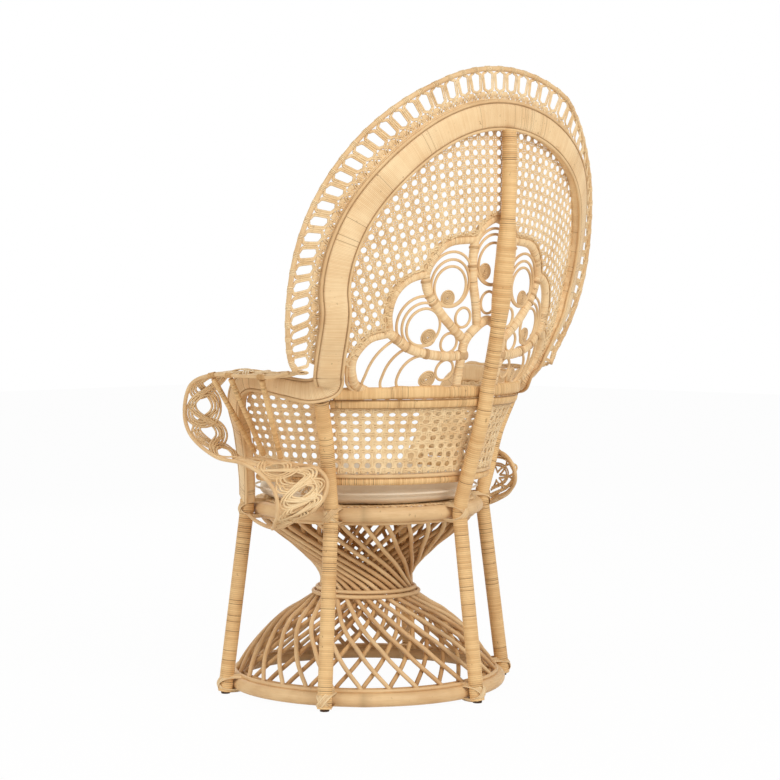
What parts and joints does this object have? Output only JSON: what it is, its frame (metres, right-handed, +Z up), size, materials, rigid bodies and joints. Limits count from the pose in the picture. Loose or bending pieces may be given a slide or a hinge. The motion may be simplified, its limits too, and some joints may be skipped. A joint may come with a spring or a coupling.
{
  "type": "peacock chair",
  "caption": "Rattan peacock armchair with a flared openwork fan back, woven basket seat, scrolled lace arms and a twisted hourglass lattice pedestal between outer legs.",
  "frame": {"origin": "on the floor, under the middle of the chair's whole outline", "axes": "+Z up, -Y the way the sitter faces, +X to the sitter's left"},
  "size_m": [1.0156, 0.7996, 1.4467],
  "materials": {
    "pole_cane": "satin peeled rattan pole",
    "wrapped_cane": "satin rattan pole wrapped in peeled cane strip",
    "split_cane": "satin split cane weave",
    "cushion_cloth": "matt plain cloth",
    "glide_rubber": "matt"
  },
  "bodies": {
    "chair": {"base_ring": "pole_cane", "seat_ring": "pole_cane", "leg_rear_left": "wrapped_cane", "glide_rear_left": "glide_rubber", "leg_rear_right": "wrapped_cane", "glide_rear_right": "glide_rubber", "leg_front_left": "wrapped_cane", "glide_front_left": "glide_rubber", "leg_front_right": "wrapped_cane", "glide_front_right": "glide_rubber", "glide_back": "glide_rubber", "back_spine": "wrapped_cane", "lattice_outer": "pole_cane", "lattice_inner": "pole_cane", "waist_hoop_upper": "pole_cane", "waist_hoop_lower": "pole_cane", "seat_deck": "split_cane", "back_rim": "wrapped_cane", "arm_rim_left": "wrapped_cane", "arm_rim_right": "wrapped_cane", "back_outer_rod": "pole_cane", "back_lace": "split_cane", "back_rail": "wrapped_cane", "medallion": "wrapped_cane", "back_webbing": "split_cane", "basket_webbing": "split_cane", "basket_rod": "pole_cane", "basket_hoop": "wrapped_cane", "arm_outer_rod_left": "pole_cane", "arm_outer_rod_right": "pole_cane", "arm_scroll_rod_left": "pole_cane", "arm_scroll_rod_right": "pole_cane", "arm_lace_left": "split_cane", "arm_lace_right": "split_cane", "arm_strut_1_left": "wrapped_cane", "arm_strut_1_right": "wrapped_cane", "arm_strut_2_left": "wrapped_cane", "arm_strut_2_right": "wrapped_cane", "arm_strut_3_left": "wrapped_cane", "arm_strut_3_right": "wrapped_cane"},
    "cushion": {"seat_cushion": "cushion_cloth"}
  },
  "joints": [
    {"name": "cushion_lift", "type": "slide", "parent": "chair", "child": "cushion", "axis": [0, 0, 1], "range_m": [0, 0.3]}
  ]
}
